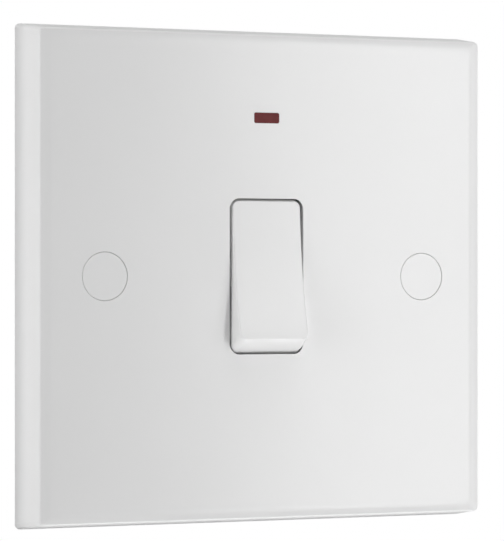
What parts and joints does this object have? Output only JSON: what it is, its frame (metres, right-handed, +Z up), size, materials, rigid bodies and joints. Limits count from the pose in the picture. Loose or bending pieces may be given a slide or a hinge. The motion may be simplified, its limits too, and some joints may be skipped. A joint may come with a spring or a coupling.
{
  "type": "double pole rocker switch",
  "caption": "Square white wall plate with a centre rocker that opens both poles together, a neon pilot window above it and capped fixing screws.",
  "frame": {"origin": "centre of the plate on the wall plane, midway between the two fixing screws", "axes": "+X right and +Z up as seen from the front, +Y into the wall"},
  "size_m": [0.086, 0.0327, 0.086],
  "materials": {
    "white_moulding": "white moulded thermoset, satin gloss",
    "rear_moulding": "pale grey-white moulded case",
    "red_lens": "dark red clear lens, unlit",
    "brass": "machined brass",
    "copper": "rolled copper alloy strip",
    "silver_contact": "silver alloy, burnished",
    "plated_steel": "zinc plated",
    "spring_steel": "drawn spring wire",
    "plunger_moulding": "natural acetal",
    "lamp_glass": "clear glass envelope",
    "resistor_body": "lacquered film resistor",
    "lead_sleeve": "thin sleeved wire"
  },
  "bodies": {
    "frame": {"earth_screw": "plated_steel", "earth_terminal": "brass", "fixing_screws": "plated_steel", "front_plate": "white_moulding", "housing_screws": "plated_steel", "line_fixed_contact": "silver_contact", "line_load_terminal": "brass", "line_supply_terminal": "brass", "neon_lamp": "lamp_glass", "neon_lens": "red_lens", "neon_line_lead": "lead_sleeve", "neon_neutral_lead": "lead_sleeve", "neon_resistor": "resistor_body", "neutral_fixed_contact": "silver_contact", "neutral_load_terminal": "brass", "neutral_supply_terminal": "brass", "screw_cap_left": "white_moulding", "screw_cap_right": "white_moulding", "switch_housing": "rear_moulding", "terminal_screws": "plated_steel"},
    "rocker": {"rocker": "white_moulding", "line_spring": "spring_steel", "neutral_spring": "spring_steel"},
    "line_plunger": {"line_plunger": "plunger_moulding"},
    "neutral_plunger": {"neutral_plunger": "plunger_moulding"},
    "line_arm": {"line_contact_arm": "copper", "line_moving_contact": "silver_contact"},
    "neutral_arm": {"neutral_contact_arm": "copper", "neutral_moving_contact": "silver_contact"}
  },
  "joints": [
    {"name": "rocker_tilt", "type": "hinge", "parent": "frame", "child": "rocker", "pos_m": [0, -0.0034, 0], "axis": [1, 0, 0], "range_deg": [0, 17]},
    {"name": "line_plunger_slide", "type": "slide", "parent": "rocker", "child": "line_plunger", "axis": [0, -0.989, 0.1478], "range_m": [-0.0002, 0.001], "stiffness_N_per_m": 800, "springref_m": -0.004, "deforming": ["line_spring"]},
    {"name": "line_arm_rock", "type": "hinge", "parent": "frame", "child": "line_arm", "pos_m": [0, 0.00994, 0], "axis": [1, 0, 0], "range_deg": [-18, 0]},
    {"name": "neutral_plunger_slide", "type": "slide", "parent": "rocker", "child": "neutral_plunger", "axis": [0, -0.989, 0.1478], "range_m": [-0.0002, 0.001], "stiffness_N_per_m": 800, "springref_m": -0.004, "deforming": ["neutral_spring"]},
    {"name": "neutral_arm_rock", "type": "hinge", "parent": "frame", "child": "neutral_arm", "pos_m": [0, 0.00994, 0], "axis": [1, 0, 0], "range_deg": [-18, 0]}
  ],
  "couplings": [
    {"joint": "line_arm_rock", "follows": "rocker_tilt", "ratio": -1.0588},
    {"joint": "neutral_arm_rock", "follows": "rocker_tilt", "ratio": -1.0588}
  ]
}
